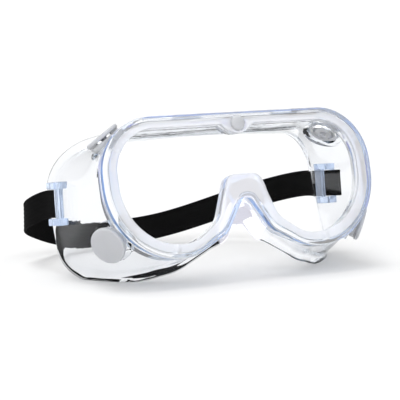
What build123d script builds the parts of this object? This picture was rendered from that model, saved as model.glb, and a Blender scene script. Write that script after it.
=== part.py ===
from build123d import *
import math
import os

# Chemical splash goggles with a soft clear frame, a curved lens, four indirect vents and an elastic strap.
# Final frame: +Z up from the surface the goggles stand on, lens facing -Y, X across the face.
# The optical front is drawn in its own "lens frame": X across, Y up the lens, Z forward out of the lens.
# Lengths along the final Y axis (names ending in _Y) are measured backward from the lens button.

# ---- rim and lens (mm) ----
LEAN = 15.7                # the lens leans back this many degrees from upright
BUTTON_HEIGHT = 78.0       # centre of the lens button above the surface
FRONT_RADIUS = 3000.0      # horizontal curvature of the lens and the rim

RIM_SIDE = 78.3            # half width of the rim
RIM_TOP = 6.2              # rim edge above the button centre
RIM_BOTTOM = -65.6         # lowest edge of the two cheek lobes
RIM_DEPTH = 8.0
LIP_DEPTH = 2.8            # the rim's full outline is this deep; behind it the rim is narrower
LIP_STEP = 1.0             # by this much all round
OPENING_SIDE = 70.3        # half width of the clear window
OPENING_TOP = -0.2
OPENING_BOTTOM = -58.3
LENS_THICKNESS = 2.0
LENS_SETBACK = 2.2         # front lip of the rim over the lens
GROOVE_DEPTH = 2.6         # how far the lens edge sits in the rim
TAB_RADIUS = 11.5          # rounded tab of the rim that carries the lens button
TAB_RISE = 6.6

# ---- skirt ----
WALL = 2.2
FLANGE = 2.4               # thickness of the rolled edge against the face
FLANGE_REACH = 3.0         # how far that edge stands out of the wall
FLANGE_SIDE_REACH = 0.4

# Depth behind the front, then the section there: half width, top, bottom, drop of the nose arch,
# radius of the lower side corners and of the top corners.
SKIRT_SECTIONS = [
    (-4.0, (77.4, 5.4, -64.4, 0.6, 35.0, 28.5)),
    (-27.0, (79.2, 1.2, -69.6, 5.0, 31.0, 29.5)),
    (-70.0, (80.6, 3.6, -79.5, 14.0, 25.0, 23.5)),
]

# Rear edge of the skirt: height, then its depth at each distance from the middle.
FACE_STATIONS = (0, 20, 42, 62, 84)
FACE_LEVELS = [
    (20.0, (-38.0, -39.0, -43.0, -51.0, -66.0)),
    (-20.0, (-25.0, -28.0, -37.0, -49.5, -64.5)),
    (-45.0, (-13.0, -17.5, -28.5, -43.0, -60.5)),
    (-90.0, (-6.0, -9.0, -16.5, -31.0, -51.0)),
]

# ---- button and vents ----
BUTTON_RADIUS = 4.0
BUTTON_HEAD = 2.0
BUTTON_STUD = 10.2         # length of the stud behind the head
STUD_RADIUS = 1.5
WASHER_RADIUS = 3.0
WASHER_HEIGHT = 1.2
RUNNING_GAP = 0.05
EDGE_CHAMFER = 0.7

UPPER_VENT = ((63.9, -4.2, -19.5), (0.53, 0.836, -0.129))     # place on the wall, outward direction
LOWER_VENT = ((70.4, -52.4, -15.6), (0.81, -0.417, 0.412))
VENT_WINDOW = (0.46, -0.16, 0.87)  # the caps' air gaps open along this direction
VENT_BORE = 7.5            # radius of the hole through the skirt
BOSS_RADIUS = 10.6
BOSS_FACES = (-2.4, 0.6)   # inner and outer face of the thickened seat, from the wall point
SEAT_INSIDE = 5.6          # radius of the way through the vent seat
SEAT_FOOT = -1.0           # inner end of the seat, from the wall point
SEAT_COLLAR = (7.7, 8.7, 3.6)     # outer radius at the wall and at the mouth, height
HUB_RADIUS = 4.6
HUB_HEIGHT = 1.4
SPOKE_WIDTH = 1.6
BAFFLE = (0.6, 0.8)        # its lower face and thickness
BAFFLE_HOLES = (8, 3.7, 0.7)      # number, pitch radius, radius
CAP_RADIUS = 9.4
CAP_FACES = (5.9, 8.0)
CAP_WALL = (7.3, 8.6, 4.35)       # inner and outer radius and lower end of the two walls under the cap
CAP_GAP = 9.4              # width of the air gaps between those walls
STEM_END = -2.6

# ---- strap and lugs ----
STRAP_WIDTH = 15.6
STRAP_THICKNESS = 1.6
STRAP_X = 81.8             # the strap's middle plane where it passes a lug
STRAP_HEIGHT = 36.0        # its height there
HINGE_Y = 52.0             # the strap loop swings about this line, just behind the lugs
END_GAP = 0.35
TAIL_FRONT_Y = 26.0
LUG_FRONT_Y = 34.2
LUG_REAR_Y = 46.0
LUG_BAR = 3.2
LUG_PAD_SETBACK = 4.4      # the pad on the skirt starts behind the bar
LUG_TILT = -8.0            # strap ends and lugs rise forward by this angle about the swing line
LUG_CHEEK = 3.6
LUG_OUTER_X = 84.7
LUG_ROUND = 0.8
SLOT_GAP = 0.3

# The loop behind the head, right lug to left lug, as X, Y from the button, Z.
STRAP_ROUTE = [
    (81.8, 52.0, 36.0), (82.4, 60.0, 35.6), (79.2, 73.1, 33.2), (67.0, 86.6, 28.0), (45.0, 100.1, 19.4),
    (14.0, 109.4, 10.6), (-21.0, 111.7, 8.4), (-50.0, 105.3, 12.2), (-67.5, 95.8, 18.6),
    (-78.8, 85.5, 24.0), (-83.2, 75.2, 28.4), (-83.2, 63.5, 32.8), (-81.8, 52.0, 36.0),
]
STRAP_STEPS = 44

REAR_Y = 112.9             # outer face of the strap at the back
FRONT_Y = -17.6            # the rim's foremost edge, at the two cheek lobes
ORIGIN_Y = (FRONT_Y + REAR_Y) / 2

lean = math.radians(LEAN)
LENS_FRAME = Plane(
    origin=(0, -ORIGIN_Y, BUTTON_HEIGHT),
    x_dir=(1, 0, 0),
    z_dir=(0, -math.cos(lean), math.sin(lean)),
)


def place(shape):
    """Move a shape from the lens frame to the final frame."""
    return LENS_FRAME * shape


def mirrored(shape):
    return mirror(shape, Plane.YZ)


def disc(radius, low, high):
    """Cylinder on the local Z axis between two heights."""
    return Pos(0, 0, (low + high) / 2) * Cylinder(radius, high - low)


def goggle_outline(side, top, bottom, lobe, flank, bridge, radii):
    """Closed goggle shape: a wide top, two cheek lobes and a nose arch between them."""
    half = [(side, top), (side, bottom), (lobe, bottom), flank, bridge]
    left = [(-x, y) for x, y in reversed(half)]
    return make_face(FilletPolyline(*(half + left), radius=radii + radii[::-1], close=True))


def rim_outline(inset):
    return goggle_outline(
        RIM_SIDE - inset, RIM_TOP - inset, RIM_BOTTOM + inset, 34.0, (13.5, -55.0 + inset), (2.4, -38.0 + inset),
        [29.0 - inset, 37.5 - inset, 24.0, 14.0, 4.0],
    )


def opening_outline():
    return goggle_outline(
        OPENING_SIDE, OPENING_TOP, OPENING_BOTTOM, 32.0, (17.3, -48.0), (9.0, -25.6),
        [22.0, 31.0, 20.0, 12.0, 6.0],
    )


def skirt_outline(side, top, bottom, nose_drop, side_radius, top_radius, grow, side_grow):
    """Cross-section of the skirt at one depth; grow > 0 makes the rolled edge, grow < 0 the inside."""
    return goggle_outline(
        side + side_grow, top + grow, bottom - grow, 36.0,
        (14.0 - grow * 0.4, -54.3 - nose_drop - grow), (3.4 - grow * 0.1, -38.0 - nose_drop - grow),
        [top_radius + grow, side_radius + side_grow, 24.0 + grow, 14.0 + grow, 5.0],
    )


def skirt_loft(grow, side_grow):
    """The skirt as a solid block, lofted from the rim back to beyond the face."""
    sections = [
        Pos(0, 0, depth) * skirt_outline(*section, grow, side_grow) for depth, section in SKIRT_SECTIONS
    ]
    return loft(sections, ruled=True)


def behind_front(depth):
    """Everything further back than a depth measured from the curved front surface."""
    drum = Pos(0, -30, -FRONT_RADIUS) * Rot(X=90) * Cylinder(FRONT_RADIUS - depth, 200)
    return drum & Pos(0, -30, -50) * Box(220, 180, 140)


def front_shell(outer, inner):
    """Curved slab between two depths behind the front surface."""
    return behind_front(outer) - behind_front(inner)


def face_side(forward):
    """Everything on the face's side of the skirt's rear edge, moved forward by a distance."""
    wires = []
    far_x, far_depth = 100, -160
    edge_x = FACE_STATIONS[-1]
    for height, depths in FACE_LEVELS:
        right = [(x, height, depth + forward) for x, depth in zip(FACE_STATIONS, depths)]
        left = [(-x, y, z) for x, y, z in reversed(right[1:])]
        curve = Edge.make_spline([Vector(*p) for p in left + right])
        end = right[-1][2]
        back = Polyline(
            (edge_x, height, end), (far_x, height, -70), (far_x, height, far_depth),
            (-far_x, height, far_depth), (-far_x, height, -70), (-edge_x, height, end),
        )
        wires.append(Wire([curve] + list(back.edges())))
    return Solid.make_loft(wires)


def vent_frame(vent):
    """Plane on the wall with Z outward and X towards the cap's air gap."""
    point, direction = vent
    out = Vector(*direction).normalized()
    along = Vector(*VENT_WINDOW)
    along -= out * along.dot(out)
    return Plane(origin=point, x_dir=along, z_dir=out)


def vent_discs(radius, low, high):
    """Cylinders on the axes of all four vents between two distances from the wall."""
    discs = [vent_frame(vent) * disc(radius, low, high) for vent in (UPPER_VENT, LOWER_VENT)]
    return discs[0] + discs[1] + mirrored(discs[0]) + mirrored(discs[1])


def lens_blank():
    """The lens before its hole: the window's outline grown into the groove."""
    outline = offset(opening_outline(), amount=GROOVE_DEPTH)
    slab = front_shell(LENS_SETBACK, LENS_SETBACK + LENS_THICKNESS)
    return extrude(outline, amount=-30) & slab


def stud_hole(gap=RUNNING_GAP):
    return Cylinder(STUD_RADIUS + gap, 40)


def make_lens():
    return lens_blank() - stud_hole()


def through_block(outline):
    """A flat outline as a block from in front of the curved front to behind the rim."""
    return Pos(0, 0, 5) * extrude(outline, amount=-40)


def make_rim():
    lip = through_block(rim_outline(0)) & front_shell(0, LIP_DEPTH)
    body = through_block(rim_outline(LIP_STEP)) & front_shell(0, RIM_DEPTH)
    tab = Pos(0, TAB_RISE) * Circle(TAB_RADIUS)
    window = extrude(opening_outline() - tab, amount=-30)
    rim = (lip + body) - window - lens_blank() - stud_hole()
    return rim - vent_discs(BOSS_RADIUS, BOSS_FACES[0] - 0.3, 12.0)


def make_skirt():
    behind_rim = behind_front(RIM_DEPTH)
    face = face_side(0)
    rolled_edge = (skirt_loft(FLANGE_REACH, FLANGE_SIDE_REACH) & face_side(FLANGE)) - face
    bosses = vent_discs(BOSS_RADIUS, *BOSS_FACES)
    skirt = ((skirt_loft(0, 0) - face) + rolled_edge + bosses) & behind_rim
    skirt -= skirt_loft(-WALL, -WALL) - bosses
    skirt -= vent_discs(VENT_BORE, -12.0, 8.0)
    skirt -= vent_discs(BOSS_RADIUS + 0.8, BOSS_FACES[1], 12.0)
    skirt -= vent_discs(BOSS_RADIUS + 0.8, -12.0, BOSS_FACES[0])
    return skirt - disc(WASHER_RADIUS + 0.2, -RIM_DEPTH - WASHER_HEIGHT - 0.25, -RIM_DEPTH)


def make_vent_seat():
    """Bush pressed into the skirt, with a flared mouth and a spider that guides the cap's stem."""
    outer_face = BOSS_FACES[1]
    foot, mouth, height = SEAT_COLLAR
    bush = disc(VENT_BORE, SEAT_FOOT, outer_face)
    collar = Pos(0, 0, outer_face + height / 2) * Cone(foot, mouth, height)
    spider = disc(HUB_RADIUS, SEAT_FOOT, SEAT_FOOT + HUB_HEIGHT)
    for turn in (0, 90):
        spoke = Box(2 * SEAT_INSIDE + 1.2, SPOKE_WIDTH, HUB_HEIGHT)
        spider += Rot(Z=turn) * Pos(0, 0, SEAT_FOOT + HUB_HEIGHT / 2) * spoke
    return (bush + collar) - Cylinder(SEAT_INSIDE, 30) + spider - stud_hole()


def make_vent_baffle():
    """Splash baffle: a disc with a ring of small holes, clipped in the bush."""
    low, thickness = BAFFLE
    count, pitch_radius, hole_radius = BAFFLE_HOLES
    holes = Part()
    for index in range(count):
        holes += Rot(Z=360 / count * index) * Pos(pitch_radius, 0, low) * Cylinder(hole_radius, 4)
    return disc(SEAT_INSIDE, low, low + thickness) - holes - stud_hole(0.3)


def chamfered_disc(radius, low, high):
    body = disc(radius, low, high)
    return chamfer(body.edges().filter_by(GeomType.CIRCLE).group_by(Axis.Z)[-1], EDGE_CHAMFER)


def make_vent_cap():
    """Cap disc on two curved stand-off walls and a central stem; air passes between the walls."""
    low, high = CAP_FACES
    inner, outer, wall_low = CAP_WALL
    walls = disc(outer, wall_low, low + 0.3) - Cylinder(inner, 30) - Box(30, CAP_GAP, 2 * (low - 0.01))
    return chamfered_disc(CAP_RADIUS, low, high) + walls + disc(STUD_RADIUS, STEM_END, low + 0.5)


def make_button():
    return chamfered_disc(BUTTON_RADIUS, 0, BUTTON_HEAD) + disc(STUD_RADIUS, -BUTTON_STUD, 0.2)


def make_button_washer():
    """Retaining ring pressed on the rim's back, in a pocket of the skirt."""
    top = -RIM_DEPTH - 0.02
    return disc(WASHER_RADIUS, top - WASHER_HEIGHT, top) - stud_hole()


def span(x, y, z):
    """Box given by its low and high limits along each axis, in the final frame."""
    size = [high - low for low, high in (x, y, z)]
    middle = [(high + low) / 2 for low, high in (x, y, z)]
    return Pos(middle[0], middle[1] - ORIGIN_Y, middle[2]) * Box(*size)


def tilted(shape):
    """Turn a shape about the strap's swing line so that its front rises."""
    swing = Pos(0, HINGE_Y - ORIGIN_Y, STRAP_HEIGHT)
    return swing * Rot(X=LUG_TILT) * swing.inverse() * shape


def make_lug(skirt_block):
    """Bridge moulded on the skirt's side: two cheeks and an outer bar over the strap."""
    half = STRAP_WIDTH / 2 + SLOT_GAP
    low, high = STRAP_HEIGHT - half, STRAP_HEIGHT + half
    root_x = 74.0
    pad_outer = STRAP_X - STRAP_THICKNESS / 2 - SLOT_GAP
    bar_inner = STRAP_X + STRAP_THICKNESS / 2 + SLOT_GAP
    reach = (LUG_FRONT_Y, LUG_REAR_Y)
    pad_reach = (LUG_FRONT_Y + LUG_PAD_SETBACK, LUG_REAR_Y)
    pad = span((root_x, pad_outer), pad_reach, (low - LUG_CHEEK, high + LUG_CHEEK))
    lower = span((root_x, LUG_OUTER_X), reach, (low - LUG_CHEEK, low))
    upper = span((root_x, LUG_OUTER_X), reach, (high, high + LUG_CHEEK))
    bar = span((bar_inner, LUG_OUTER_X), (LUG_FRONT_Y, LUG_FRONT_Y + LUG_BAR), (low - 0.5, high + 0.5))
    lug = pad + lower + upper + bar
    outer_edges = lug.edges().filter_by(Axis.Z).group_by(Axis.X)[-1]
    lug = tilted(fillet(outer_edges, LUG_ROUND)) - skirt_block
    return lug.solids().sort_by(SortBy.VOLUME)[-1]


def strap_end_disc(radius, thickness):
    """Disc across the strap on the swing line."""
    return Pos(STRAP_X, HINGE_Y - ORIGIN_Y, STRAP_HEIGHT) * Rot(Y=90) * Cylinder(radius, thickness)


def strap_end(front_y):
    """Piece of strap held in a lug, up to the line where the loop starts to swing."""
    half_thickness, half_width = STRAP_THICKNESS / 2, STRAP_WIDTH / 2
    band = span(
        (STRAP_X - half_thickness, STRAP_X + half_thickness), (front_y, HINGE_Y),
        (STRAP_HEIGHT - half_width, STRAP_HEIGHT + half_width),
    )
    return tilted(band) - strap_end_disc(half_width + END_GAP, 4)


def make_strap_loop():
    """The elastic band behind the head, standing on edge, with rounded ends on the swing line."""
    route = Edge.make_spline([Vector(x, y - ORIGIN_Y, z) for x, y, z in STRAP_ROUTE])
    sections = []
    for step in range(STRAP_STEPS + 1):
        at = step / STRAP_STEPS
        along = route.tangent_at(at).normalized()
        across = along.cross(Vector(0, 0, 1)).normalized()
        section_plane = Plane(origin=route.position_at(at), x_dir=across, z_dir=along)
        sections.append(section_plane * Rectangle(STRAP_THICKNESS, STRAP_WIDTH))
    end = strap_end_disc(STRAP_WIDTH / 2, STRAP_THICKNESS)
    return loft(sections, ruled=True) + end + mirrored(end)


def main():
    os.makedirs("parts", exist_ok=True)
    above_floor = Pos(0, 0, 100) * Box(400, 400, 200)
    skirt = place(make_skirt()) & above_floor
    lug = make_lug(place(skirt_loft(0, 0)) + skirt)
    parts = {
        "rim": place(make_rim()),
        "skirt": skirt,
        "lens": place(make_lens()),
        "lens_button": place(make_button()),
        "lens_button_washer": place(make_button_washer()),
        "strap_lug_right": lug,
        "strap_lug_left": mirrored(lug),
        "strap_end_right": strap_end(TAIL_FRONT_Y),
        "strap_end_left": mirrored(strap_end(LUG_FRONT_Y + LUG_PAD_SETBACK)),
        "strap_loop": make_strap_loop(),
    }
    for level, vent in (("upper", UPPER_VENT), ("lower", LOWER_VENT)):
        for name, make in (("seat", make_vent_seat), ("baffle", make_vent_baffle), ("cap", make_vent_cap)):
            piece = place(vent_frame(vent) * make())
            parts[f"vent_{name}_{level}_right"] = piece
            parts[f"vent_{name}_{level}_left"] = mirrored(piece)
    for name, shape in parts.items():
        export_step(shape, f"parts/{name}.step")


main()
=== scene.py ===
import math

import bmesh
import bpy
import numpy as np
from mathutils import Matrix, Vector


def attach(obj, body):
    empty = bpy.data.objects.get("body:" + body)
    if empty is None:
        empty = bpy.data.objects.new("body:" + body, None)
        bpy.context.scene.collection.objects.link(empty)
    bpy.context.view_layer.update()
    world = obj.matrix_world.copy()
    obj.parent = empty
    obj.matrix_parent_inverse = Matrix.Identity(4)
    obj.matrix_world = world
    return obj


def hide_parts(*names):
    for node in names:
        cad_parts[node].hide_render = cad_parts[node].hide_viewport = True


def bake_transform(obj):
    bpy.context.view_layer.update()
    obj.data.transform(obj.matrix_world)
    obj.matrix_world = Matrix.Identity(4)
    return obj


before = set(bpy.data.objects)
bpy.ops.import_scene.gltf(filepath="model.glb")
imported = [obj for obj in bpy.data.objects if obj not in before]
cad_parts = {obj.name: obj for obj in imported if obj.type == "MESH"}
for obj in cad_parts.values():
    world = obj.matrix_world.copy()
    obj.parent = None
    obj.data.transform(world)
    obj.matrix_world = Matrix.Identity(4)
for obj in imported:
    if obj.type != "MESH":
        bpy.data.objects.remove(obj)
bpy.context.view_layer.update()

# ---------------------------------------------------------------- dimensions (millimetres, as the CAD frame)
MM = 0.001
LEAN = math.radians(15.7)          # the lens leans back from upright
BUTTON_PLACE = Vector((0, -47.65, 78.0))
FRONT_RADIUS = 3000.0              # curvature of lens and rim across the face
RIM_DEPTH = 8.0
LENS_FRONT, LENS_BACK = -2.2, -4.2
GROOVE_DEPTH = 2.6
GROOVE_GAP = 0.06
TAB_RADIUS, TAB_RISE = 11.5, 6.6   # rounded tab of the rim around the lens button
WALL = 2.2
UPPER_VENT = ((63.9, -4.2, -19.5), (0.53, 0.836, -0.129))
LOWER_VENT = ((70.4, -52.4, -15.6), (0.81, -0.417, 0.412))
VENT_WINDOW = (0.46, -0.16, 0.87)   # the caps' air gaps open along this direction
VENT_BORE = 7.5
BOSS_RADIUS = 10.6
BOSS_FACES = (-2.4, 0.6)           # inner and outer face of the thickened wall, from the vent's wall point
STRAP_WIDTH, STRAP_THICKNESS = 14.2, 1.4
STRAP_HEIGHT = 36.0                # the strap's height where it passes a lug
HINGE_Y = 4.35                     # line where the strap loop starts to swing
LUG_TILT = math.radians(-8.0)      # lugs and strap ends rise forward about that line

# ---------------------------------------------------------------- frames of reference
LENS_X = Vector((1, 0, 0))
LENS_UP = Vector((0, math.sin(LEAN), math.cos(LEAN)))
LENS_OUT = Vector((0, -math.cos(LEAN), math.sin(LEAN)))


def placed(points):
    """Lens-frame millimetres (across, up the lens, forward) to metres in the row frame."""
    points = np.asarray(points, float).reshape(-1, 3)
    basis = np.array([LENS_X, LENS_UP, LENS_OUT])
    return (points @ basis + np.array(BUTTON_PLACE)) * MM


def vent_matrix(vent, side):
    """Frame of a vent: Z outward, X towards its air gap, origin on the wall; side is 1 right, -1 left."""
    point, direction = vent
    mirror = Vector((side, 1, 1))
    origin, tip, gap = (Vector(p) * mirror for p in placed([point, np.add(point, direction),
                                                            np.add(point, VENT_WINDOW)]))
    out = (tip - origin).normalized()
    along = (gap - origin) - (gap - origin).dot(out) * out
    along.normalize()
    turn = Matrix((along, out.cross(along), out)).transposed().to_4x4()
    return Matrix.Translation(origin) @ turn


# ---------------------------------------------------------------- mesh helpers
def new_object(name, vertices, faces, material, smooth=True):
    mesh = bpy.data.meshes.new(name)
    mesh.from_pydata([tuple(v) for v in vertices], [], faces)
    mesh.validate()
    mesh.update()
    piece = bpy.data.objects.new(name, mesh)
    bpy.context.scene.collection.objects.link(piece)
    mesh.materials.append(material)
    mesh.polygons.foreach_set("use_smooth", [smooth] * len(mesh.polygons))
    return piece


def outward_normals(piece):
    edit = bmesh.new()
    edit.from_mesh(piece.data)
    bmesh.ops.recalc_face_normals(edit, faces=edit.faces)
    edit.to_mesh(piece.data)
    edit.free()


def ring_faces(stations, points, closed_ring=True):
    """Quads of a grid of stations by profile points; the profile is closed."""
    faces = []
    last = stations if closed_ring else stations - 1
    for i in range(last):
        a, b = i * points, ((i + 1) % stations) * points
        for j in range(points):
            k = (j + 1) % points
            faces.append((a + j, b + j, b + k, a + k))
    return faces


def lathe(name, profile, material, matrix, turns=64):
    """Solid of revolution about Z from (radius, height) points in millimetres, ends on the axis."""
    vertices, faces, rows = [], [], []
    for radius, height in profile:
        if radius < 1e-6:
            rows.append([len(vertices)])
            vertices.append((0, 0, height))
            continue
        rows.append(list(range(len(vertices), len(vertices) + turns)))
        for k in range(turns):
            angle = 2 * math.pi * k / turns
            vertices.append((radius * math.cos(angle), radius * math.sin(angle), height))
    for low, high in zip(rows, rows[1:]):
        for k in range(turns):
            n = (k + 1) % turns
            if len(low) == 1:
                faces.append((low[0], high[k], high[n]))
            elif len(high) == 1:
                faces.append((low[k], low[n], high[0]))
            else:
                faces.append((low[k], low[n], high[n], high[k]))
    points = [matrix @ (Vector(v) * MM) for v in vertices]
    piece = new_object(name, points, faces, material)
    outward_normals(piece)
    return piece


def closed_lathe(name, profile, material, matrix, turns=64):
    """Ring of revolution about Z from a closed loop of (radius, height) points in millimetres."""
    vertices = []
    for k in range(turns):
        angle = 2 * math.pi * k / turns
        for radius, height in profile:
            spot = Vector((radius * math.cos(angle), radius * math.sin(angle), height)) * MM
            vertices.append(matrix @ spot)
    piece = new_object(name, vertices, ring_faces(turns, len(profile)), material)
    outward_normals(piece)
    return piece


def arc(centre, radius, start, end, count):
    """Points on an arc, angles in degrees."""
    angles = np.radians(np.linspace(start, end, count))
    return [(centre[0] + radius * math.cos(a), centre[1] + radius * math.sin(a)) for a in angles]


def block(name, size, centre, material, matrix=Matrix.Identity(4), bevel=0.3):
    """Box with rounded edges, sizes in millimetres."""
    edit = bmesh.new()
    bmesh.ops.create_cube(edit, size=1)
    bmesh.ops.scale(edit, vec=Vector(size) * MM, verts=edit.verts)
    bmesh.ops.bevel(edit, geom=edit.edges[:], offset=bevel * MM, segments=3, profile=0.5, affect="EDGES")
    bmesh.ops.translate(edit, vec=Vector(centre) * MM, verts=edit.verts)
    bmesh.ops.transform(edit, matrix=matrix, verts=edit.verts)
    mesh = bpy.data.meshes.new(name)
    edit.to_mesh(mesh)
    edit.free()
    mesh.materials.append(material)
    mesh.polygons.foreach_set("use_smooth", [True] * len(mesh.polygons))
    piece = bpy.data.objects.new(name, mesh)
    bpy.context.scene.collection.objects.link(piece)
    return piece


def boolean(piece, tool, operation):
    """Applies an exact boolean and removes the tool."""
    modifier = piece.modifiers.new("cut", "BOOLEAN")
    modifier.operation = operation
    modifier.solver = "EXACT"
    modifier.object = tool
    graph = bpy.context.evaluated_depsgraph_get()
    mesh = bpy.data.meshes.new_from_object(piece.evaluated_get(graph))
    piece.modifiers.clear()
    old = piece.data
    piece.data = mesh
    bpy.data.meshes.remove(old)
    bpy.data.objects.remove(tool)


def joined(name, pieces):
    """Joins finished pieces into the first one."""
    edit = bmesh.new()
    for piece in pieces:
        edit.from_mesh(piece.data)
    edit.to_mesh(pieces[0].data)
    edit.free()
    pieces[0].name = name
    for piece in pieces[1:]:
        bpy.data.objects.remove(piece)
    pieces[0].data.polygons.foreach_set("use_smooth", [True] * len(pieces[0].data.polygons))
    return pieces[0]


# ---------------------------------------------------------------- materials
def new_material(name):
    material = bpy.data.materials.new(name)
    material.use_nodes = True
    nodes = material.node_tree.nodes
    return material, nodes, material.node_tree.links, nodes["Principled BSDF"], nodes["Material Output"]


def noise_bump(nodes, links, shader, scale, strength, distance, detail=4.0):
    """Fine surface unevenness from object-space noise."""
    coordinate = nodes.new("ShaderNodeTexCoord")
    noise = nodes.new("ShaderNodeTexNoise")
    noise.inputs["Scale"].default_value = scale
    noise.inputs["Detail"].default_value = detail
    bump = nodes.new("ShaderNodeBump")
    bump.inputs["Strength"].default_value = strength
    bump.inputs["Distance"].default_value = distance
    links.new(coordinate.outputs["Object"], noise.inputs["Vector"])
    links.new(noise.outputs["Fac"], bump.inputs["Height"])
    links.new(bump.outputs["Normal"], shader.inputs["Normal"])
    return noise


def roughness_from(nodes, links, noise, shader, low, high):
    ramp = nodes.new("ShaderNodeMapRange")
    ramp.inputs["To Min"].default_value = low
    ramp.inputs["To Max"].default_value = high
    links.new(noise.outputs["Fac"], ramp.inputs["Value"])
    links.new(ramp.outputs["Result"], shader.inputs["Roughness"])


def clear_pvc(name, colour, transmission, index, roughness, density=9.0, gloss=0.5, painted_glow=0.0):
    """Soft clear PVC: glossy, faintly uneven, blue where light travels a long way inside it. Its glow is
    painted light: an emission that brightens the PVC though it is no lamp.
    """
    material, nodes, links, shader, output = new_material(name)
    shader.inputs["Transmission Weight"].default_value = transmission
    shader.inputs["IOR"].default_value = index
    shader.inputs["Specular Tint"].default_value = (gloss * 0.9, gloss * 0.95, gloss, 1)
    shader.inputs["Emission Color"].default_value = (*colour, 1)
    # painted light: emission that brightens the PVC though it is no lamp
    shader.inputs["Emission Strength"].default_value = painted_glow
    noise = noise_bump(nodes, links, shader, 90.0, 0.12, 0.0006)
    roughness_from(nodes, links, noise, shader, *roughness)
    cloud = nodes.new("ShaderNodeTexNoise")
    cloud.inputs["Scale"].default_value = 35.0
    coordinate = nodes.new("ShaderNodeTexCoord")
    links.new(coordinate.outputs["Object"], cloud.inputs["Vector"])
    ramp = nodes.new("ShaderNodeValToRGB")
    ramp.color_ramp.elements[0].position, ramp.color_ramp.elements[1].position = 0.3, 0.7
    ramp.color_ramp.elements[0].color = (*[c * 0.97 for c in colour], 1)
    ramp.color_ramp.elements[1].color = (*colour, 1)
    links.new(cloud.outputs["Fac"], ramp.inputs["Fac"])
    links.new(ramp.outputs["Color"], shader.inputs["Base Color"])
    absorption = nodes.new("ShaderNodeVolumeAbsorption")
    absorption.inputs["Color"].default_value = (0.0, 0.5, 0.96, 1)
    absorption.inputs["Density"].default_value = density
    links.new(absorption.outputs["Volume"], output.inputs["Volume"])
    return material


def clear_lens():
    """Polished polycarbonate."""
    material, nodes, links, shader, _ = new_material("clear_lens")
    shader.inputs["Base Color"].default_value = (0.995, 0.997, 1.0, 1)
    shader.inputs["Transmission Weight"].default_value = 1.0
    shader.inputs["IOR"].default_value = 1.12
    noise = noise_bump(nodes, links, shader, 25.0, 0.02, 0.0005, 2.0)
    roughness_from(nodes, links, noise, shader, 0.0, 0.01)
    return material


def milky_plastic(name, colour):
    """Translucent white polythene of the caps, seats and button, with faint moulding mottle."""
    material, nodes, links, shader, _ = new_material(name)
    noise = noise_bump(nodes, links, shader, 320.0, 0.1, 0.0003)
    roughness_from(nodes, links, noise, shader, 0.32, 0.48)
    mottle = nodes.new("ShaderNodeTexNoise")
    mottle.inputs["Scale"].default_value = 60.0
    coordinate = nodes.new("ShaderNodeTexCoord")
    links.new(coordinate.outputs["Object"], mottle.inputs["Vector"])
    ramp = nodes.new("ShaderNodeValToRGB")
    ramp.color_ramp.elements[0].position = 0.3
    ramp.color_ramp.elements[0].color = (*[c * 0.94 for c in colour], 1)
    ramp.color_ramp.elements[1].position = 0.7
    ramp.color_ramp.elements[1].color = (*colour, 1)
    links.new(mottle.outputs["Fac"], ramp.inputs["Fac"])
    links.new(ramp.outputs["Color"], shader.inputs["Base Color"])
    shader.inputs["Subsurface Weight"].default_value = 0.6
    shader.inputs["Subsurface Radius"].default_value = (0.004, 0.004, 0.0045)
    shader.inputs["Subsurface Scale"].default_value = 1.0
    shader.inputs["Transmission Weight"].default_value = 0.25
    shader.inputs["IOR"].default_value = 1.45
    return material


def elastic():
    """Black woven elastic: fine lengthwise cords crossed by the weft, with a soft fuzz."""
    material, nodes, links, shader, _ = new_material("elastic")
    coordinate = nodes.new("ShaderNodeTexCoord")
    weft = nodes.new("ShaderNodeTexWave")
    weft.wave_type = "BANDS"
    weft.bands_direction = "X"
    weft.inputs["Scale"].default_value = 60.0
    weft.inputs["Distortion"].default_value = 1.2
    weft.inputs["Detail"].default_value = 2.0
    links.new(coordinate.outputs["UV"], weft.inputs["Vector"])
    warp = nodes.new("ShaderNodeTexWave")
    warp.wave_type = "BANDS"
    warp.bands_direction = "Y"
    warp.inputs["Scale"].default_value = 4.5
    links.new(coordinate.outputs["UV"], warp.inputs["Vector"])
    weave = nodes.new("ShaderNodeMath")
    weave.operation = "MULTIPLY"
    links.new(weft.outputs["Fac"], weave.inputs[0])
    links.new(warp.outputs["Fac"], weave.inputs[1])
    ramp = nodes.new("ShaderNodeValToRGB")
    ramp.color_ramp.elements[0].color = (0.0006, 0.0006, 0.0007, 1)
    ramp.color_ramp.elements[1].color = (0.0035, 0.0035, 0.004, 1)
    links.new(weave.outputs["Value"], ramp.inputs["Fac"])
    links.new(ramp.outputs["Color"], shader.inputs["Base Color"])
    bump = nodes.new("ShaderNodeBump")
    bump.inputs["Strength"].default_value = 0.5
    bump.inputs["Distance"].default_value = 0.00025
    links.new(weave.outputs["Value"], bump.inputs["Height"])
    links.new(bump.outputs["Normal"], shader.inputs["Normal"])
    shader.inputs["Roughness"].default_value = 0.85
    shader.inputs["Specular IOR Level"].default_value = 0.05
    shader.inputs["Sheen Weight"].default_value = 0.01
    return material


def floor_paint():
    material, _, _, shader, _ = new_material("floor")
    shader.inputs["Base Color"].default_value = (0.76, 0.76, 0.76, 1)
    shader.inputs["Roughness"].default_value = 0.6
    shader.inputs["Specular IOR Level"].default_value = 0.1
    return material


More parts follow.
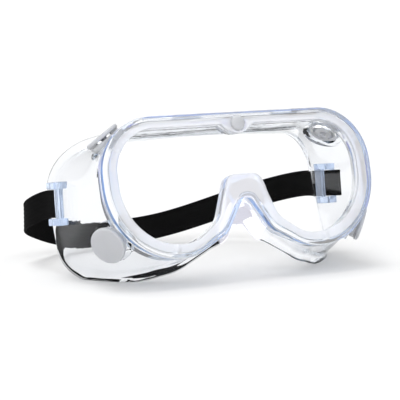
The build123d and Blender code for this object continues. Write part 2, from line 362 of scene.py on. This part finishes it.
PVC = clear_pvc("clear_pvc", (0.972, 0.975, 0.99), 0.996, 1.33, (0.0, 0.03), 9.0, 0.22)
# painted light: the rim's walls and lip carry a faint emission that makes them brighter than their lighting
# does
PVC_EDGE_PAINTED_GLOW = clear_pvc("clear_pvc_rim_painted_glow", (0.99, 0.99, 1.0), 0.78, 1.38, (0.0, 0.03), 5.0, painted_glow=0.05)
PVC_BAND = clear_pvc("cloudy_pvc_rim", (0.97, 0.97, 1.0), 0.5, 1.36, (0.02, 0.08), 3.0)
# painted light: cloudier PVC with an emission that brightens the nose saddle, which sits in shade
PVC_FLAP_PAINTED_GLOW = clear_pvc("cloudy_pvc_saddle_painted_glow", (0.94, 0.93, 1.0), 0.8, 1.32, (0.01, 0.05), 3.0, painted_glow=0.25)
# painted light: blue base colour on the rim's outer wall, standing for the light carried along inside the clear
# PVC rim
PVC_PAINTED_EDGE_LIGHT = clear_pvc("painted_blue_edge_light", (0.3, 0.5, 0.9), 0.8, 1.45, (0.0, 0.04), 10.0)
# painted light: the lugs' PVC carries a faint emission that makes them brighter, though they are no lamp
PVC_LUG_PAINTED_GLOW = clear_pvc("clear_pvc_lug_painted_glow", (0.78, 0.86, 1.0), 0.8, 1.4, (0.0, 0.04), 8.0, painted_glow=0.08)
LENS = clear_lens()
MILKY = milky_plastic("milky_cap", (0.59, 0.60, 0.63))
# painted light: seats, baffles and the button ring use a much lighter copy of the caps' white plastic, to lift
# the vents' shaded insides
MILKY_SEAT_PAINTED_LIGHT = milky_plastic("milky_seat_painted_light", (0.88, 0.89, 0.95))
ELASTIC = elastic()


# ---------------------------------------------------------------- goggle outlines
ARC_STEPS = (44, 48, 16, 16, 12)
LINE_STEPS = (18, 8, 10, 8)
BRIDGE_STEPS, TOP_STEPS = 6, 96


def filleted_half(corners, radii):
    """Right half of the outline: an arc at each corner and straight runs between them."""
    chain = [(-corners[0][0], corners[0][1])] + list(corners) + [(-corners[-1][0], corners[-1][1])]
    points = []
    for k, radius in enumerate(radii):
        before, corner, after = (np.array(p, float) for p in chain[k:k + 3])
        a = (before - corner) / np.linalg.norm(before - corner)
        b = (after - corner) / np.linalg.norm(after - corner)
        half = math.acos(np.clip(a @ b, -1, 1)) / 2
        centre = corner + (a + b) / np.linalg.norm(a + b) * radius / math.sin(half)
        start = corner + a * radius / math.tan(half) - centre
        end = corner + b * radius / math.tan(half) - centre
        low = math.atan2(start[1], start[0])
        sweep = (math.atan2(end[1], end[0]) - low + math.pi) % (2 * math.pi) - math.pi
        if points:
            line = np.linspace(points[-1], centre + start, LINE_STEPS[k - 1] + 2)[1:-1]
            points += list(line)
        angles = low + sweep * np.linspace(0, 1, ARC_STEPS[k])
        points += [centre + radius * np.array((math.cos(t), math.sin(t))) for t in angles]
    return np.array(points)


def outline(side, top, bottom, lobe, flank, bridge, radii):
    """Closed goggle shape as an array of points, from the top centre clockwise round and back."""
    right = filleted_half([(side, top), (side, bottom), (lobe, bottom), flank, bridge], radii)
    left = right[::-1] * (-1, 1)
    nose = np.linspace(right[-1], left[0], BRIDGE_STEPS + 2)[1:-1]
    across = np.linspace(-1, 1, TOP_STEPS + 2)[1:-1]
    across = 0.35 * across + 0.65 * across ** 3
    middle = np.stack([right[0][0] * across, np.full_like(across, right[0][1])], -1)
    return np.vstack([right, nose, left, middle])


def skirt_section(side, top, bottom, drop, side_radius, top_radius):
    return outline(side, top, bottom, 36.0, (14.0, -54.3 - drop), (3.4, -38.0 - drop),
                   (top_radius, side_radius, 24.0, 14.0, 5.0))


RIM_EDGE = outline(78.3, 6.2, -65.6, 34.0, (13.5, -55.0), (2.4, -38.0), (29.0, 37.5, 24.0, 14.0, 4.0))
WINDOW = outline(70.3, -0.2, -58.3, 32.0, (17.3, -48.0), (9.0, -25.6), (22.0, 31.0, 20.0, 12.0, 6.0))
SKIRT_DEPTHS = (-4.0, -27.0, -70.0)
SKIRT_SECTIONS = (
    skirt_section(77.4, 5.4, -64.4, 0.6, 35.0, 28.5),
    skirt_section(79.2, 1.2, -69.6, 5.0, 31.0, 29.5),
    skirt_section(80.6, 3.6, -79.5, 14.0, 25.0, 23.5),
)
COUNT = len(RIM_EDGE)


def with_tab(window):
    """Window edge with the round tab of the rim that carries the lens button."""
    shaped = window.copy()
    near = np.abs(shaped[:, 0]) < TAB_RADIUS
    dip = TAB_RISE - np.sqrt(np.maximum(TAB_RADIUS ** 2 - shaped[:, 0] ** 2, 0))
    upper = near & (shaped[:, 1] > -10)
    shaped[upper, 1] = np.minimum(shaped[upper, 1], dip[upper])
    return shaped


def normals_of(points):
    """Outward unit normals of a closed clockwise outline."""
    along = np.roll(points, -1, 0) - np.roll(points, 1, 0)
    normal = np.stack([-along[:, 1], along[:, 0]], -1)
    return normal / np.linalg.norm(normal, axis=1)[:, None]


def skirt_at(depth):
    """Outer wall of the skirt at a depth for each station; depth is one value per station."""
    depth = np.broadcast_to(np.asarray(depth, float), (COUNT,))[:, None]
    d0, d1, d2 = SKIRT_DEPTHS
    s0, s1, s2 = SKIRT_SECTIONS
    slope_a, slope_b = (s1 - s0) / (d1 - d0), (s2 - s1) / (d2 - d1)
    product = slope_a * slope_b
    knee = np.where(product > 0, 2 * product / (slope_a + slope_b + 1e-12), 0)

    def hermite(t, p, q, m, n, span):
        h = t * t * (3 - 2 * t)
        return p * (1 - h) + q * h + span * (m * (t ** 3 - 2 * t * t + t) + n * (t ** 3 - t * t))

    first = hermite((depth - d0) / (d1 - d0), s0, s1, slope_a, knee, d1 - d0)
    second = hermite((depth - d1) / (d2 - d1), s1, s2, knee, slope_b, d2 - d1)
    return np.where(depth > d1, first, second)


def face_depth(points):
    """Depth of the wearer's face behind each point: deepest at the temples, shallow at the nose."""
    across = np.array((0.0, 20.0, 42.0, 62.0, 84.0))
    levels = np.array((20.0, -20.0, -45.0, -90.0))
    depths = np.array((
        (-38.0, -39.0, -43.0, -51.0, -66.0),
        (-25.0, -28.0, -37.0, -49.5, -64.5),
        (-13.0, -17.5, -28.5, -43.0, -60.5),
        (-6.0, -9.0, -16.5, -31.0, -51.0),
    ))
    reach = np.abs(points[:, 0])
    rows = np.array([smooth_curve(reach, across, row) for row in depths])
    return np.array([np.interp(-v, -levels, rows[:, i]) for i, v in enumerate(points[:, 1])])


def smooth_curve(x, knots, values):
    """Even polynomial through the knots, so that it is smooth across the middle."""
    powers = np.vander((knots / 100) ** 2, len(knots))
    return np.vander((np.asarray(x) / 100) ** 2, len(knots)) @ np.linalg.solve(powers, values)


def rear_edge():
    """Depth where each station of the skirt meets the face."""
    depth = np.full(COUNT, -40.0)
    for _ in range(40):
        depth = 0.5 * depth + 0.5 * np.clip(face_depth(skirt_at(depth)), -69, -11.5)
    return blurred(blurred(depth, 7), 7)


def blurred(values, width):
    """Moving average round the ring."""
    total = np.zeros_like(values)
    for shift in range(-width, width + 1):
        total += np.roll(values, shift, 0)
    return total / (2 * width + 1)


# ---------------------------------------------------------------- frame moulding: rim, skirt and flange in one
LIP_WIDTH, LIP_HEIGHT = 2.3, 0.7
BAND_ROWS = (15, 20)               # rows of the rim's section that form its flat band, counted from the outside
PAINTED_EDGE_LIGHT_ROWS = (2, 6)               # rows of its outer wall painted blue: painted light for the light carried along inside the clear rim
SKIRT_ROWS = 16
SWEEP_FADE = 14.0                  # the front's curve fades out over this depth of the skirt
FLANGE_REACH, FLANGE_SIDE_REACH = 3.0, 0.4
NOSE_FLAP_DROP, NOSE_FLAP_GLOW_START = 6.5, 2.5   # drop of the saddle over the nose, and where its cloudier PVC with a painted glow starts
FLAP_ROWS = 11                     # rows of the flange that hang down with that saddle
RIM_MATERIALS = (PVC, PVC_EDGE_PAINTED_GLOW, PVC_BAND, PVC_FLAP_PAINTED_GLOW, PVC_PAINTED_EDGE_LIGHT)


def smoothstep(low, high, value):
    t = np.clip((value - low) / (high - low), 0, 1)
    return t * t * (3 - 2 * t)


def rim_rows(window, edge):
    """Rim cross-section at each station as rows of (points, depth), outer rear edge first."""
    across = edge - window
    unit = across / np.linalg.norm(across, axis=1)[:, None]
    raised = lip_raised(edge)
    drop = 0.12 + (LIP_HEIGHT - 0.12) * raised + top_notch(edge)
    rows = []

    def outer(inset, depth):
        rows.append((edge - unit * inset, np.broadcast_to(depth, (COUNT,))))

    def inner(offset, depth):
        rows.append((window + unit * offset, np.broadcast_to(depth, (COUNT,))))

    for inset, depth in ((1.0, -7.7), (1.0, -5.6), (1.0, -4.4), (0.9, -3.2), (0.1, -2.8)):
        outer(inset, depth)
    for inset, depth in ((0.0, -1.1), (0.1, -0.65), (0.35, -0.28), (0.7, -0.06), (1.0, 0.0)):
        outer(inset, depth)
    outer(LIP_WIDTH - 0.3, 0.0)
    outer(LIP_WIDTH, -0.3 * drop - 0.25 * raised)
    outer(LIP_WIDTH + 0.15, -drop - 0.7 * raised)
    outer(LIP_WIDTH + 0.45, -drop - 0.7 * raised)
    outer(LIP_WIDTH + 0.85, -drop)
    inner(1.1, -drop)
    inner(0.5, -drop - 0.06)
    inner(0.14, -drop - 0.26)
    inner(0.0, -drop - 0.6)
    inner(0.0, LENS_FRONT + GROOVE_GAP)
    inner(GROOVE_DEPTH, LENS_FRONT + GROOVE_GAP)
    inner(GROOVE_DEPTH, LENS_BACK - GROOVE_GAP)
    inner(0.0, LENS_BACK - GROOVE_GAP)
    inner(0.0, -7.4)
    inner(0.25, -7.85)
    return rows


def lip_raised(edge):
    """1 where the retaining lip stands up, 0 along the top, over the nose and in a gap under each cheek."""
    x, v = np.abs(edge[:, 0]), edge[:, 1]
    below = smoothstep(-7.6, -8.6, v)
    nose = smoothstep(6.6, 5.4, x) * smoothstep(-60.0, -55.0, v)
    gap = smoothstep(43.0, 44.0, x) * smoothstep(47.0, 46.0, x) * (v < -50)
    return below * (1 - nose) * (1 - gap)


def top_notch(edge):
    """Shallow recess with slanted ends in the top band, one each side of the button."""
    x, v = np.abs(edge[:, 0]), edge[:, 1]
    return 0.6 * smoothstep(19.5, 21.5, x) * smoothstep(38.0, 36.0, x) * (v > 0)


def flange_reach(points):
    """How far the rear edge rolls outward at each station: widest under the brow and cheeks."""
    direction = normals_of(points)
    side = np.abs(direction[:, 0]) ** 2
    return blurred(FLANGE_REACH * (1 - side) + FLANGE_SIDE_REACH * side, 8)


def nose_flap(points):
    """Extra drop of the rear edge that forms the soft saddle over the nose."""
    x, v = np.abs(points[:, 0]), points[:, 1]
    return NOSE_FLAP_DROP * smoothstep(19.0, 8.0, x) * smoothstep(-66.0, -50.0, v) * (v < -20)


FLANGE_PROFILE = (
    # height above the rear edge, share of the reach, extra inward offset
    (9.0, 0.0, 0.0), (6.5, 0.06, 0.0), (4.6, 0.2, 0.0), (3.2, 0.45, 0.0), (2.3, 0.75, 0.0), (1.9, 0.95, 0.0),
    (1.55, 1.05, 0.0), (1.0, 1.12, 0.0), (0.45, 1.07, 0.0), (0.1, 0.93, 0.0), (0.0, 0.75, 0.0),
    (0.0, 0.35, 0.3), (0.15, 0.1, 0.8), (0.7, 0.0, 1.4), (1.8, 0.0, 1.9), (3.4, 0.0, 2.15), (5.5, 0.0, WALL),
)


def frame_rows():
    """Rows of the whole moulding's closed cross-section."""
    rows = []
    rear = rear_edge()
    foot = skirt_at(rear)
    outward = normals_of(foot)
    reach = flange_reach(foot)
    flap = nose_flap(foot)
    length = -RIM_DEPTH - rear
    top = np.minimum(9.0, 0.8 * length)

    def wall(depth, inset, extra=0.0, drop=0.0):
        place = skirt_at(depth) - normals_of(skirt_at(depth)) * inset
        place = place + outward * np.broadcast_to(extra, (COUNT,))[:, None]
        place[:, 1] -= drop
        return place, np.broadcast_to(depth, (COUNT,))

    for share in np.linspace(1, 0, SKIRT_ROWS)[:-1]:
        depth = -RIM_DEPTH + (rear + top + RIM_DEPTH) * (1 - share)
        rows.append(wall(depth, 0.0))
    scale = np.minimum(1, top / 9.0)
    for k, (height, share, inset) in enumerate(FLANGE_PROFILE):
        depth = rear + height * scale
        lowered = flap * (share if k < FLAP_ROWS else max(0.0, 0.75 - 0.15 * (k + 1 - FLAP_ROWS)))
        rows.append(wall(depth, inset, reach * share, lowered))
    for share in np.linspace(0, 1, SKIRT_ROWS)[1:]:
        depth = (rear + 5.5 * scale) + (-RIM_DEPTH - 0.4 - (rear + 5.5 * scale)) * share
        rows.append(wall(depth, WALL))
    return rows


def front_sweep(across):
    """How far the curved front lies behind its middle at a distance across."""
    return np.sqrt(FRONT_RADIUS ** 2 - across ** 2) - FRONT_RADIUS


def curved_front(points, depth):
    """Lens-frame points with the sweep of the front surface added."""
    return flat_points(points, depth + front_sweep(points[:, 0]))


def flat_points(points, depth):
    return np.column_stack([points[:, 0], points[:, 1], depth])


def make_frame():
    window = with_tab(WINDOW)
    skirt = frame_rows()
    grid = []
    for points, depth in skirt:
        near = smoothstep(-RIM_DEPTH - SWEEP_FADE, -RIM_DEPTH, depth)
        grid.append(flat_points(points, depth + near * front_sweep(points[:, 0])))
    for points, depth in reversed(rim_rows(window, RIM_EDGE)):
        grid.append(curved_front(points, depth))
    stacked = np.stack(grid, 1)
    vertices = placed(stacked.reshape(-1, 3))
    vertices[:, 2] = np.maximum(vertices[:, 2], 0)
    piece = new_object("frame_moulding", vertices, ring_faces(COUNT, len(grid)), PVC)
    for material in RIM_MATERIALS[1:]:
        piece.data.materials.append(material)
    paint_rim(piece, len(grid), len(skirt))
    outward_normals(piece)
    return piece


def paint_rim(piece, rows, skirt_rows):
    """Clear PVC with a faint painted glow on the rim's walls and lip, cloudier PVC on its flat band, cloudier
    PVC with a stronger painted glow on the nose saddle, and painted blue edge light on a few rows of its outer
    wall.
    """
    # stations of the nose saddle, which get the cloudier PVC with its painted glow
    saddle = nose_flap(skirt_at(rear_edge())) > NOSE_FLAP_GLOW_START
    band = range(rows - BAND_ROWS[1], rows - BAND_ROWS[0])
    edge_light = range(rows - PAINTED_EDGE_LIGHT_ROWS[1], rows - PAINTED_EDGE_LIGHT_ROWS[0])
    for face in piece.data.polygons:
        station, row = divmod(face.index, rows)
        if row in band:
            face.material_index = RIM_MATERIALS.index(PVC_BAND)
        elif row < skirt_rows and saddle[station]:
            face.material_index = RIM_MATERIALS.index(PVC_FLAP_PAINTED_GLOW)
        # a few rows of the outer wall get the painted blue edge light
        elif row in edge_light:
            face.material_index = RIM_MATERIALS.index(PVC_PAINTED_EDGE_LIGHT)
        # the rim's walls and lip get clear PVC with a faint painted glow
        elif row >= skirt_rows - 1:
            face.material_index = RIM_MATERIALS.index(PVC_EDGE_PAINTED_GLOW)


def vent_solids(name, radius, low, high):
    """One mesh of four plain cylinders, a tool for the vents' bosses and bores."""
    edit = bmesh.new()
    for vent in (UPPER_VENT, LOWER_VENT):
        for side in (1, -1):
            matrix = vent_matrix(vent, side) @ Matrix.Translation((0, 0, (low + high) / 2 * MM))
            bmesh.ops.create_cone(edit, cap_ends=True, segments=72, radius1=radius * MM, radius2=radius * MM,
                                  depth=(high - low) * MM, matrix=matrix)
    mesh = bpy.data.meshes.new(name)
    edit.to_mesh(mesh)
    edit.free()
    tool = bpy.data.objects.new(name, mesh)
    bpy.context.scene.collection.objects.link(tool)
    return tool


def smooth_by_angle(piece, degrees):
    """Smooth shading with sharp creases above an angle."""
    edit = bmesh.new()
    edit.from_mesh(piece.data)
    limit = math.radians(degrees)
    for edge in edit.edges:
        edge.smooth = len(edge.link_faces) == 2 and edge.calc_face_angle(0) < limit
    edit.to_mesh(piece.data)
    edit.free()
    piece.data.polygons.foreach_set("use_smooth", [True] * len(piece.data.polygons))


def finish_frame(piece):
    boolean(piece, vent_solids("boss_tool", BOSS_RADIUS, *BOSS_FACES), "UNION")
    boolean(piece, vent_solids("bore_tool", VENT_BORE + 0.05, -9.0, 9.0), "DIFFERENCE")
    smooth_by_angle(piece, 38)
    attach(piece, "goggles")
    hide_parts("rim", "skirt")


# ---------------------------------------------------------------- lens
def make_lens():
    """Thin lens held in the rim's groove, swept with the front."""
    window = WINDOW + normals_of(WINDOW) * (GROOVE_DEPTH - 0.15)
    edit = bmesh.new()
    for depth in (LENS_FRONT, LENS_BACK):
        corners = [edit.verts.new((x, v, depth)) for x, v in window]
        edit.faces.new(corners)
    edit.verts.ensure_lookup_table()
    for i in range(COUNT):
        k = (i + 1) % COUNT
        edit.faces.new([edit.verts[j] for j in (i, k, COUNT + k, COUNT + i)])
    for x in np.linspace(-72, 72, 49):
        everything = edit.verts[:] + edit.edges[:] + edit.faces[:]
        bmesh.ops.bisect_plane(edit, geom=everything, plane_co=(x, 0, 0), plane_no=(1, 0, 0))
    bmesh.ops.recalc_face_normals(edit, faces=edit.faces)
    bmesh.ops.triangulate(edit, faces=[f for f in edit.faces if len(f.verts) > 4])
    for vertex in edit.verts:
        x, v, w = vertex.co
        vertex.co = placed([(x, v, w + front_sweep(x))])[0]
    mesh = bpy.data.meshes.new("lens_panel")
    edit.to_mesh(mesh)
    edit.free()
    mesh.materials.append(LENS)
    piece = bpy.data.objects.new("lens_panel", mesh)
    bpy.context.scene.collection.objects.link(piece)
    smooth_by_angle(piece, 30)
    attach(piece, "goggles")
    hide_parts("lens")


# ---------------------------------------------------------------- lens button
def make_button():
    turn = Matrix((LENS_X, LENS_UP, LENS_OUT)).transposed().to_4x4()
    matrix = Matrix.Translation(BUTTON_PLACE * MM) @ turn
    head = [(0, 2.0), (1.4, 1.95), (2.6, 1.72), (3.3, 1.4)]
    head += [(3.72, 1.0), (3.95, 0.55), (4.0, 0.2), (3.9, 0.04), (3.0, 0.02), (1.7, 0.02), (1.5, -0.2)]
    stud = [(1.5, -7.9), (1.75, -9.3), (1.6, -9.7), (1.0, -10.1), (0, -10.2)]
    button = lathe("lens_button_head", head + stud, MILKY, matrix)
    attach(button, "lens_button")
    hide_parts("lens_button")
    ring = [(1.62, -8.1), (2.7, -8.05), (2.95, -8.2), (3.0, -8.6), (2.9, -9.05), (2.6, -9.2), (1.62, -9.15)]
    washer = closed_lathe("lens_button_ring", ring, MILKY_SEAT_PAINTED_LIGHT, matrix)
    smooth_by_angle(washer, 40)
    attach(washer, "goggles")
    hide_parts("lens_button_washer")


# ---------------------------------------------------------------- vents
def arc_wall(name, radii, heights, start, material, matrix, sweep=112, steps=28):
    """Curved stand-off wall under a cap, from a start angle in degrees."""
    (inner, outer), (low, high) = radii, heights
    edge = 0.2
    profile = [(inner, low + edge), (inner + edge, low), (outer - edge, low), (outer, low + edge),
               (outer, high), (inner, high)]
    vertices = []
    for angle in np.radians(start + np.linspace(0, sweep, steps)):
        for radius, height in profile:
            spot = Vector((radius * math.cos(angle), radius * math.sin(angle), height)) * MM
            vertices.append(matrix @ spot)
    count = len(profile)
    faces = ring_faces(steps, count, closed_ring=False)
    faces += [tuple(reversed(range(count))), tuple(range((steps - 1) * count, steps * count))]
    piece = new_object(name, vertices, faces, material)
    outward_normals(piece)
    return piece


def make_cap(name, matrix, body, node):
    top = [(0, 6.6), (5.0, 6.58), (7.6, 6.52), (8.1, 6.46)]
    rim = arc((8.5, 5.6), 0.9, 75, 0, 6) + [(9.4, 4.9)] + arc((9.05, 4.85), 0.35, 0, -90, 4)
    under = [(7.6, 4.5), (2.6, 4.5), (1.9, 4.3), (1.5, 3.8), (1.5, -2.3), (1.2, -2.6), (0, -2.6)]
    cap = lathe(name, top + rim + under, MILKY, matrix)
    walls = [arc_wall("wall", (7.3, 8.6), (3.55, 4.7), start, MILKY, matrix) for start in (34, 214)]
    joined(name, [cap] + walls)
    smooth_by_angle(cap, 45)
    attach(cap, body)
    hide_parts(node)


def make_seat(name, matrix, node):
    ring = [(5.6, -0.9), (5.75, -1.0), (7.42, -1.0), (7.42, 0.64), (7.7, 0.68), (7.85, 0.85), (8.4, 2.1)]
    ring += [(8.66, 3.1), (8.5, 3.38), (7.6, 3.4), (7.3, 3.1), (5.9, 1.75), (5.62, 1.5)]
    seat = closed_lathe(name, ring, MILKY_SEAT_PAINTED_LIGHT, matrix)
    hub = closed_lathe("hub", [(1.62, -1.0), (4.4, -1.0), (4.6, -0.8), (4.6, 0.2), (4.4, 0.35), (1.62, 0.35)],
                       MILKY_SEAT_PAINTED_LIGHT, matrix)
    spokes = []
    for k in range(4):
        spin = Matrix.Rotation(k * math.pi / 2, 4, "Z")
        spokes.append(block("spoke", (1.8, 1.6, 1.1), (5.2, 0, -0.35), MILKY_SEAT_PAINTED_LIGHT, matrix @ spin, 0.25))
    joined(name, [seat, hub] + spokes)
    smooth_by_angle(seat, 40)
    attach(seat, "goggles")
    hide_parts(node)


def make_vents():
    for level, vent in (("upper", UPPER_VENT), ("lower", LOWER_VENT)):
        for side_name, side in (("right", 1), ("left", -1)):
            matrix = vent_matrix(vent, side)
            place = f"{level}_{side_name}"
            make_cap(f"cap_disc_{place}", matrix, f"cap_{place}", f"vent_cap_{place}")
            make_seat(f"vent_ring_{place}", matrix, f"vent_seat_{place}")
            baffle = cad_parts[f"vent_baffle_{place}"]
            baffle.data.materials.clear()
            baffle.data.materials.append(MILKY_SEAT_PAINTED_LIGHT)


# ---------------------------------------------------------------- strap lugs
LUG_FRONT_Y, LUG_REAR_Y = -13.45, -1.65
LUG_CHEEK, SLOT_GAP = 3.6, 0.3
PAD_SETBACK = 4.4                  # the pad on the skirt starts behind the bar


def make_lug(side_name, side):
    """Moulded strap holder: a pad on the skirt, two cheeks and a front bar round the slot."""
    middle, depth = (LUG_FRONT_Y + LUG_REAR_Y) / 2, LUG_REAR_Y - LUG_FRONT_Y
    pad_middle = middle + PAD_SETBACK / 2
    slot_half = STRAP_WIDTH / 2 + SLOT_GAP
    full_height = 2 * (slot_half + LUG_CHEEK)
    parts = [
        ((2.9, depth - PAD_SETBACK, full_height), (79.25, pad_middle, STRAP_HEIGHT)),
        ((6.9, depth, LUG_CHEEK), (81.25, middle, STRAP_HEIGHT + slot_half + LUG_CHEEK / 2)),
        ((6.9, depth, LUG_CHEEK), (81.25, middle, STRAP_HEIGHT - slot_half - LUG_CHEEK / 2)),
        ((1.75, 3.2, 2 * slot_half + 1.0), (83.8, LUG_FRONT_Y + 1.6, STRAP_HEIGHT)),
    ]
    name = f"lug_{side_name}"
    swing = Matrix.Translation(Vector((0, HINGE_Y, STRAP_HEIGHT)) * MM)
    tilt = swing @ Matrix.Rotation(LUG_TILT, 4, "X") @ swing.inverted()
    pieces = []
    for size, (x, y, z) in parts:
        pieces.append(block(name + "_block", size, (side * x, y, z), PVC_LUG_PAINTED_GLOW, tilt, 0.55))
    lug = pieces[0]
    for other in pieces[1:]:
        boolean(lug, other, "UNION")
    lug.name = name
    smooth_by_angle(lug, 40)
    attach(lug, "goggles")
    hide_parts(f"strap_lug_{side_name}")


# ---------------------------------------------------------------- strap
# Strap line in millimetres, from the end held in the left lug, behind the head, to the right tail.
STRAP_LINE = (
    (-81.8, -9.2, 37.9), (-81.8, -2.5, 37.0), (-81.8, 4.35, 35.9), (-83.2, 15.85, 32.2), (-83.2, 26.95, 27.8),
    (-78.8, 37.6, 23.4), (-67.5, 48.1, 18.0), (-50.0, 57.5, 11.8), (-21.0, 63.6, 7.9), (14.0, 61.5, 10.0),
    (45.0, 52.2, 18.8), (67.0, 38.6, 27.4), (79.2, 25.0, 32.7), (82.4, 12.35, 35.2), (81.8, 4.35, 36.0),
    (81.8, -2.5, 37.0), (81.8, -12.0, 38.3), (81.8, -21.4, 39.6),
)
STRAP_SECTIONS = 260
STRAP_RIBS = 7
STRAP_ROWS = 57


def natural_spline(points, count):
    """Evenly spaced points on a natural cubic spline through the given points."""
    points = np.array(points, float)
    knots = np.concatenate([[0], np.cumsum(np.linalg.norm(np.diff(points, axis=0), axis=1))])
    step = np.diff(knots)
    size = len(points)
    system, right = np.eye(size), np.zeros_like(points)
    for k in range(1, size - 1):
        system[k, k - 1:k + 2] = step[k - 1], 2 * (step[k - 1] + step[k]), step[k]
        right[k] = 6 * ((points[k + 1] - points[k]) / step[k] - (points[k] - points[k - 1]) / step[k - 1])
    bend = np.linalg.solve(system, right)

    def at(t):
        k = np.clip(np.searchsorted(knots, t) - 1, 0, size - 2)
        h, u, v = step[k][:, None], (knots[k + 1] - t)[:, None], (t - knots[k])[:, None]
        cubic = bend[k] * u ** 3 / (6 * h) + bend[k + 1] * v ** 3 / (6 * h)
        return cubic + (points[k] / h - bend[k] * h / 6) * u + (points[k + 1] / h - bend[k + 1] * h / 6) * v

    dense = at(np.linspace(0, knots[-1], 4000))
    travel = np.concatenate([[0], np.cumsum(np.linalg.norm(np.diff(dense, axis=0), axis=1))])
    even = np.linspace(0, travel[-1], count)
    return np.stack([np.interp(even, travel, dense[:, i]) for i in range(3)], -1), travel[-1]


def strap_section():
    """Cross-section of the band as (height share, half-thickness sign and size), edges rounded, ribbed."""
    across = np.sin(np.linspace(-math.pi / 2, math.pi / 2, STRAP_ROWS))
    swell = 1 + 0.10 * np.cos(across * math.pi * STRAP_RIBS)
    round_edge = np.sqrt(np.clip(1 - np.clip((np.abs(across) - 0.93) / 0.07, 0, 1) ** 2, 0.02, 1))
    half = STRAP_THICKNESS / 2 * swell / 1.1 * round_edge
    front = list(zip(across, half))
    back = [(a, -h) for a, h in front[::-1]]
    return front + back


def make_strap():
    line, length = natural_spline(STRAP_LINE, STRAP_SECTIONS)
    along = np.gradient(line, axis=0)
    along /= np.linalg.norm(along, axis=1)[:, None]
    outward = np.column_stack([along[:, 1], -along[:, 0], np.zeros(len(along))])
    outward /= np.linalg.norm(outward, axis=1)[:, None]
    upward = np.cross(outward, along)
    upward *= np.sign(upward[:, 2])[:, None]
    section = strap_section()
    vertices = []
    for spot, out, up in zip(line, outward, upward):
        for height, offset in section:
            vertices.append(Vector(spot + out * offset + up * height * STRAP_WIDTH / 2) * MM)
    points = len(section)
    faces = ring_faces(STRAP_SECTIONS, points, closed_ring=False)
    faces.append(tuple(reversed(range(points))))
    faces.append(tuple(range((STRAP_SECTIONS - 1) * points, STRAP_SECTIONS * points)))
    strap = new_object("elastic_band", vertices, faces, ELASTIC)
    lay_uv(strap, length, points, section)
    outward_normals(strap)
    smooth_by_angle(strap, 50)
    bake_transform(strap)
    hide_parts("strap_loop", "strap_end_left", "strap_end_right")


def lay_uv(strap, length, points, section):
    """Lengthwise and crosswise coordinates in centimetres for the weave."""
    layer = strap.data.uv_layers.new(name="weave")
    for loop in strap.data.loops:
        ring, spot = divmod(loop.vertex_index, points)
        u = ring / (STRAP_SECTIONS - 1) * length / 10
        v = section[spot][0] * STRAP_WIDTH / 20
        layer.data[loop.index].uv = (u, v)


# ---------------------------------------------------------------- studio
CAMERA_AIM = Vector((-0.0190, -0.0427, 0.0395))
CAMERA_AZIMUTH, CAMERA_ELEVATION = math.radians(-30.0), math.radians(8.0)
CAMERA_DISTANCE = 0.909
LIGHT_BOUNCES = 28                 # light crosses many clear walls


def make_camera():
    cos_e = math.cos(CAMERA_ELEVATION)
    back = Vector((math.sin(CAMERA_AZIMUTH) * cos_e, -math.cos(CAMERA_AZIMUTH) * cos_e,
                   math.sin(CAMERA_ELEVATION)))
    data = bpy.data.cameras.new("camera")
    data.lens, data.sensor_width = 162.0, 36.0
    data.clip_start, data.clip_end = 0.05, 50.0
    camera = bpy.data.objects.new("camera", data)
    camera.location = CAMERA_AIM + back * CAMERA_DISTANCE
    camera.rotation_euler = back.to_track_quat("Z", "Y").to_euler()
    bpy.context.scene.collection.objects.link(camera)
    bpy.context.scene.camera = camera


def sun_light(name, direction, strength, spread):
    """Soft directional light; direction points from the object to the light."""
    data = bpy.data.lights.new(name, "SUN")
    data.energy, data.angle = strength, math.radians(spread)
    light = bpy.data.objects.new(name, data)
    light.rotation_euler = Vector(direction).to_track_quat("Z", "Y").to_euler()
    bpy.context.scene.collection.objects.link(light)


def studio_world():
    """White cyclorama low down, an unlit gap above it and a large overhead softbox."""
    world = bpy.data.worlds.new("studio")
    world.use_nodes = True
    nodes, links = world.node_tree.nodes, world.node_tree.links
    coordinate = nodes.new("ShaderNodeTexCoord")
    split = nodes.new("ShaderNodeSeparateXYZ")
    ramp = nodes.new("ShaderNodeValToRGB")
    ramp.color_ramp.interpolation = "EASE"
    stops = ((0.0, 1.0), (0.12, 1.0), (0.18, 0.4), (0.45, 0.42), (0.58, 0.95))
    while len(ramp.color_ramp.elements) < len(stops):
        ramp.color_ramp.elements.new(0.5)
    for element, (height, level) in zip(ramp.color_ramp.elements, stops):
        element.position = height
        element.color = (level, level, level, 1)
    links.new(coordinate.outputs["Generated"], split.inputs["Vector"])
    links.new(split.outputs["Z"], ramp.inputs["Fac"])
    links.new(ramp.outputs["Color"], nodes["Background"].inputs["Color"])
    bpy.context.scene.world = world


def make_studio():
    mesh = bpy.data.meshes.new("studio_floor")
    half = 6.0
    corners = [(-half, -half, 0), (half, -half, 0), (half, half, 0), (-half, half, 0)]
    mesh.from_pydata(corners, [], [(0, 1, 2, 3)])
    mesh.materials.append(floor_paint())
    floor = bpy.data.objects.new("studio_floor", mesh)
    bpy.context.scene.collection.objects.link(floor)
    studio_world()
    sun_light("key", (-0.15, 0.25, 1.0), 1.3, 34.0)
    sun_light("fill", (-0.5, -0.8, 0.5), 1.6, 80.0)
    bpy.context.scene.view_settings.view_transform = "Standard"
    bpy.context.scene.cycles.max_bounces = LIGHT_BOUNCES
    bpy.context.scene.cycles.transmission_bounces = LIGHT_BOUNCES


make_camera()
make_studio()
moulding = make_frame()
finish_frame(moulding)
make_lens()
make_button()
make_vents()
for lug_side, sign in (("right", 1), ("left", -1)):
    make_lug(lug_side, sign)
make_strap()
